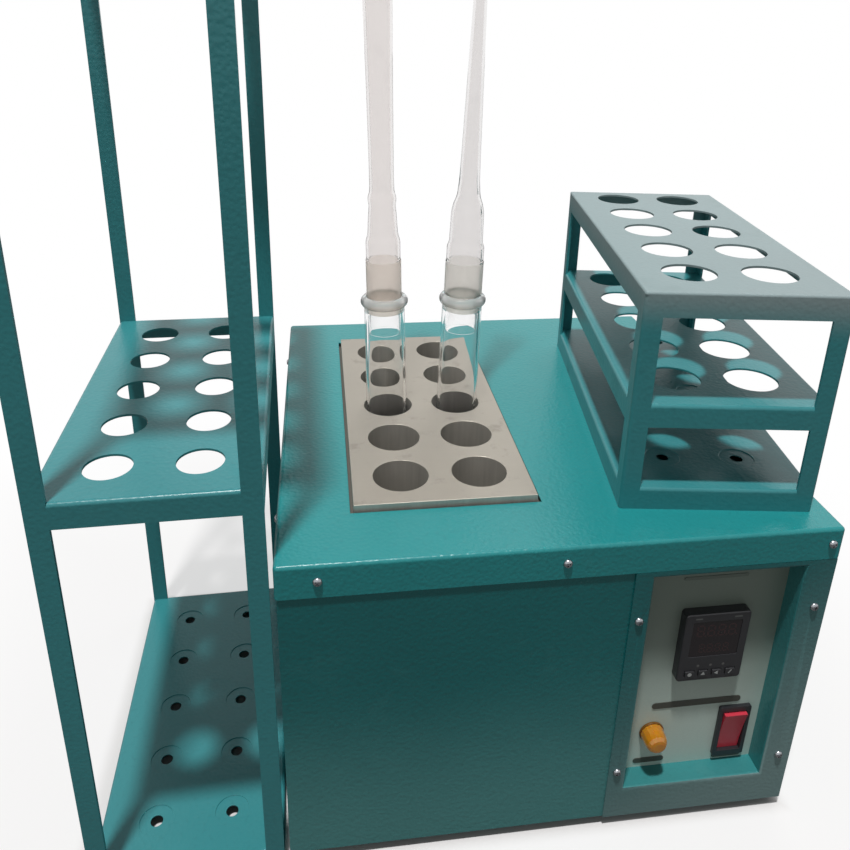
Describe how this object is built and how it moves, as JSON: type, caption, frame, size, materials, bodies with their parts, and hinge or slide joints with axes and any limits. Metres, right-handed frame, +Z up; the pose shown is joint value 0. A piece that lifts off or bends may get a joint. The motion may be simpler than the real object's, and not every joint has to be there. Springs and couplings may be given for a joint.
{
  "type": "block digester",
  "caption": "Bench heater with an aluminium well block, recessed control panel, glass vessels with air condensers, a tube rack and a condenser stand.",
  "frame": {"origin": "on the table, under the centre of the whole set's outline", "axes": "+X to the right, +Y to the back, +Z up; the control panel faces -Y"},
  "size_m": [0.4892, 0.3562, 0.7674],
  "materials": {
    "teal_paint": "hammered enamel",
    "dark_teal_paint": "hammered enamel",
    "fascia": "satin",
    "machined_aluminium": "milled",
    "mica": "matt",
    "ceramic_fibre": "matt",
    "zinc_steel": "satin",
    "black_plastic": "fine grain",
    "dark_window": "gloss",
    "light_plastic": "gloss",
    "amber_lens": "clear gloss",
    "red_plastic": "gloss",
    "legend": "matt",
    "white_plastic": "matt",
    "wire_cover": "satin",
    "contact_brass": "bright",
    "foot_rubber": "matt",
    "screw_steel": "bright zinc",
    "key_plastic": "matt",
    "clear_glass": "clear"
  },
  "bodies": {
    "heater": {"base_tray": "dark_teal_paint", "body_shell": "teal_paint", "front_panel": "dark_teal_paint", "control_frame": "teal_paint", "fascia_plate": "fascia", "top_cover": "teal_paint", "heating_block": "machined_aluminium", "plate_heater": "mica", "insulation_jacket": "ceramic_fibre", "inner_shield": "zinc_steel", "shield_pillars": "zinc_steel", "temperature_probe": "zinc_steel", "controller_housing": "black_plastic", "display_window": "dark_window", "indicator_lights": "light_plastic", "lamp_lens": "amber_lens", "lamp_body": "black_plastic", "switch_housing": "black_plastic", "legend_strips": "legend", "relay_heat_sink": "machined_aluminium", "solid_state_relay": "black_plastic", "terminal_block": "white_plastic", "wiring_loom": "wire_cover", "mains_inlet": "black_plastic", "inlet_pins": "contact_brass", "rubber_feet": "foot_rubber", "foot_screws": "screw_steel", "cover_screws": "screw_steel", "panel_screws": "screw_steel", "inlet_screws": "screw_steel"},
    "vessel_1": {"digestion_vessel_1": "clear_glass"},
    "condenser_1": {"air_condenser_1": "clear_glass"},
    "vessel_2": {"digestion_vessel_2": "clear_glass"},
    "condenser_2": {"air_condenser_2": "clear_glass"},
    "tube_rack": {"rack_top_plate": "teal_paint", "rack_middle_plate": "teal_paint", "rack_bottom_plate": "teal_paint", "rack_post_front_left": "teal_paint", "rack_post_front_right": "teal_paint", "rack_post_back_left": "teal_paint", "rack_post_back_right": "teal_paint"},
    "condenser_stand": {"stand_top_shelf": "teal_paint", "stand_middle_shelf": "teal_paint", "stand_bottom_tray": "teal_paint", "stand_post_front_left": "teal_paint", "stand_post_front_right": "teal_paint", "stand_post_back_left": "teal_paint", "stand_post_back_right": "teal_paint"},
    "rocker": {"switch_rocker": "red_plastic"},
    "key_1": {"controller_key_1": "key_plastic"},
    "key_2": {"controller_key_2": "key_plastic"},
    "key_3": {"controller_key_3": "key_plastic"},
    "key_4": {"controller_key_4": "key_plastic"}
  },
  "joints": [
    {"name": "vessel_1_lift", "type": "slide", "parent": "heater", "child": "vessel_1", "axis": [-0.0244, 0, 0.9997], "range_m": [0, 0.2]},
    {"name": "condenser_1_lift", "type": "slide", "parent": "vessel_1", "child": "condenser_1", "axis": [-0.0244, 0, 0.9997], "range_m": [0, 0.1]},
    {"name": "vessel_2_lift", "type": "slide", "parent": "heater", "child": "vessel_2", "axis": [0.0192, 0, 0.9998], "range_m": [0, 0.2]},
    {"name": "condenser_2_lift", "type": "slide", "parent": "vessel_2", "child": "condenser_2", "axis": [0.0192, 0, 0.9998], "range_m": [0, 0.1]},
    {"name": "rack_lift", "type": "slide", "parent": "heater", "child": "tube_rack", "axis": [0, 0, 1], "range_m": [0, 0.2]},
    {"name": "stand_lift", "type": "slide", "parent": "heater", "child": "condenser_stand", "axis": [0, 0, 1], "range_m": [0, 0.2]},
    {"name": "rocker_tilt", "type": "hinge", "parent": "heater", "child": "rocker", "pos_m": [0.18411, -0.1599, 0.0602], "axis": [1, 0, 0], "range_deg": [-16, 0]},
    {"name": "key_1_press", "type": "slide", "parent": "heater", "child": "key_1", "axis": [0, 1, 0], "range_m": [0, 0.0005], "stiffness_N_per_m": 400},
    {"name": "key_2_press", "type": "slide", "parent": "heater", "child": "key_2", "axis": [0, 1, 0], "range_m": [0, 0.0005], "stiffness_N_per_m": 400},
    {"name": "key_3_press", "type": "slide", "parent": "heater", "child": "key_3", "axis": [0, 1, 0], "range_m": [0, 0.0005], "stiffness_N_per_m": 400},
    {"name": "key_4_press", "type": "slide", "parent": "heater", "child": "key_4", "axis": [0, 1, 0], "range_m": [0, 0.0005], "stiffness_N_per_m": 400}
  ]
}
